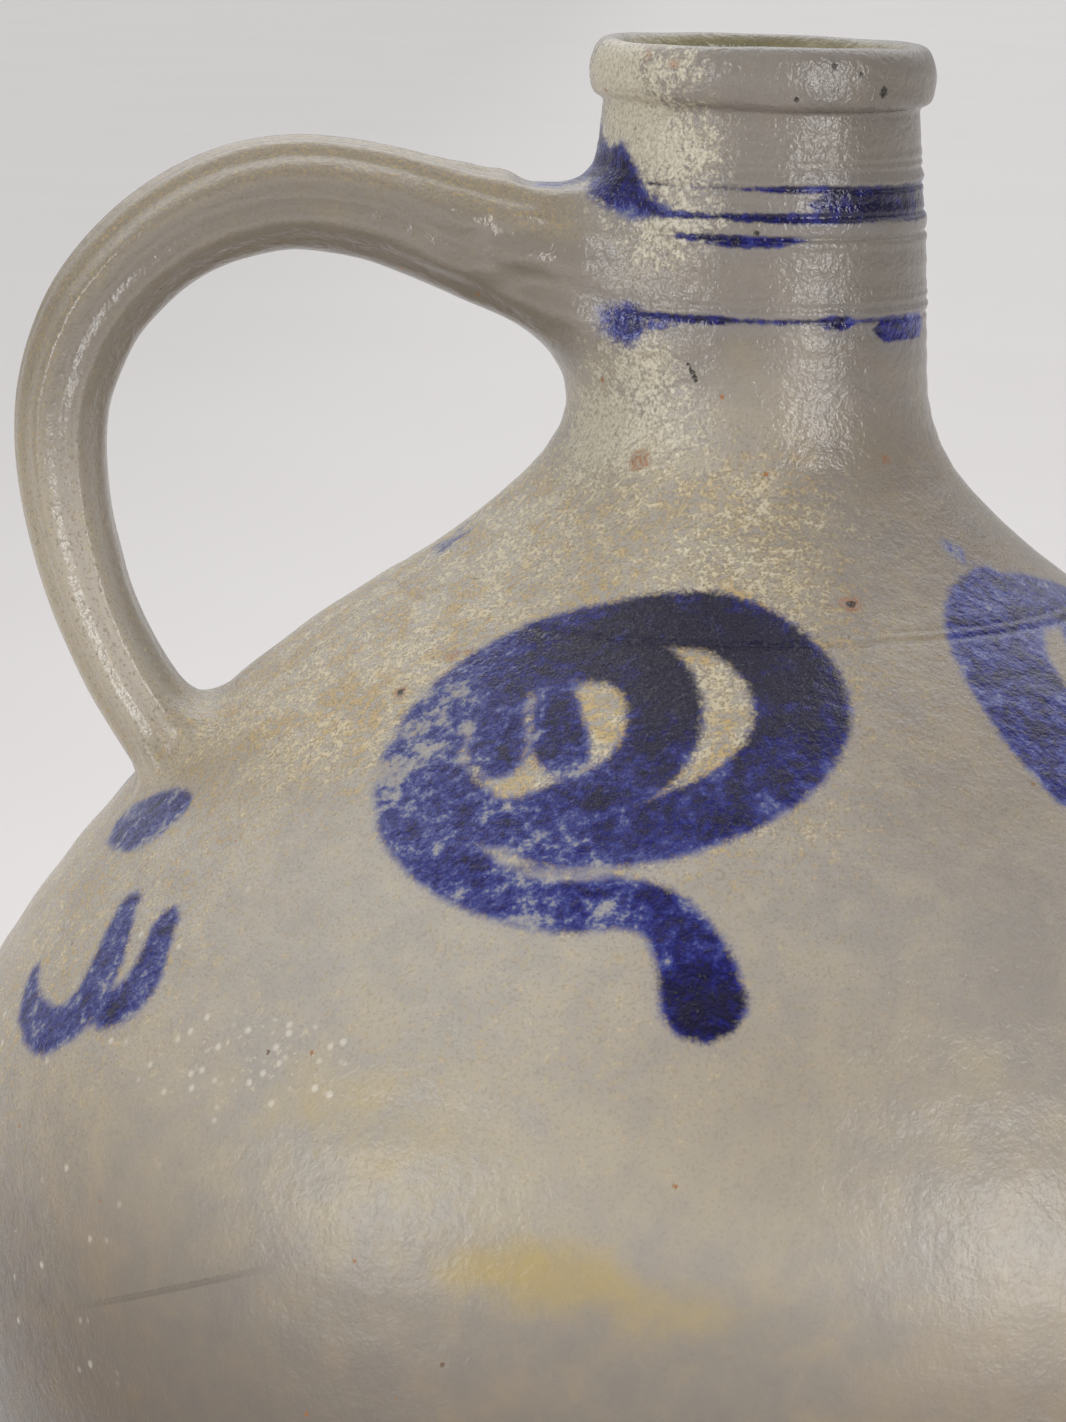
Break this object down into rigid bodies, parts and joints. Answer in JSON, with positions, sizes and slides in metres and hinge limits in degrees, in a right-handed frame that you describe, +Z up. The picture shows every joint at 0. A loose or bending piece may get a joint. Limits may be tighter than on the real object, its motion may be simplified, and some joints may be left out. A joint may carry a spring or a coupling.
{
  "type": "stoneware storage jug",
  "caption": "Ovoid salt-glazed stoneware jug with a narrow rolled-rim neck, a strap handle from neck to shoulder, and brushed cobalt decoration.",
  "frame": {"origin": "centre of the base's resting face", "axes": "+Z up along the jug's axis to the mouth; the handle lies in the XZ plane on the -X side; +Y completes a right-handed frame"},
  "size_m": [0.3143, 0.3144, 0.385],
  "materials": {
    "salt_glazed_body": "grey salt-glazed stoneware, buff speckle, orange-peel gloss, brushed cobalt decoration",
    "salt_glazed_handle": "grey salt-glazed stoneware, lengthwise pulling ridges, ochre speckle",
    "salt_glazed_joint": "grey salt-glazed stoneware worked into the body, with cobalt dabbed on the upper joint"
  },
  "bodies": {
    "root": {"thrown_body": "salt_glazed_body", "strap_handle": "salt_glazed_handle", "upper_luting_clay": "salt_glazed_joint", "lower_luting_clay": "salt_glazed_joint"}
  },
  "joints": []
}
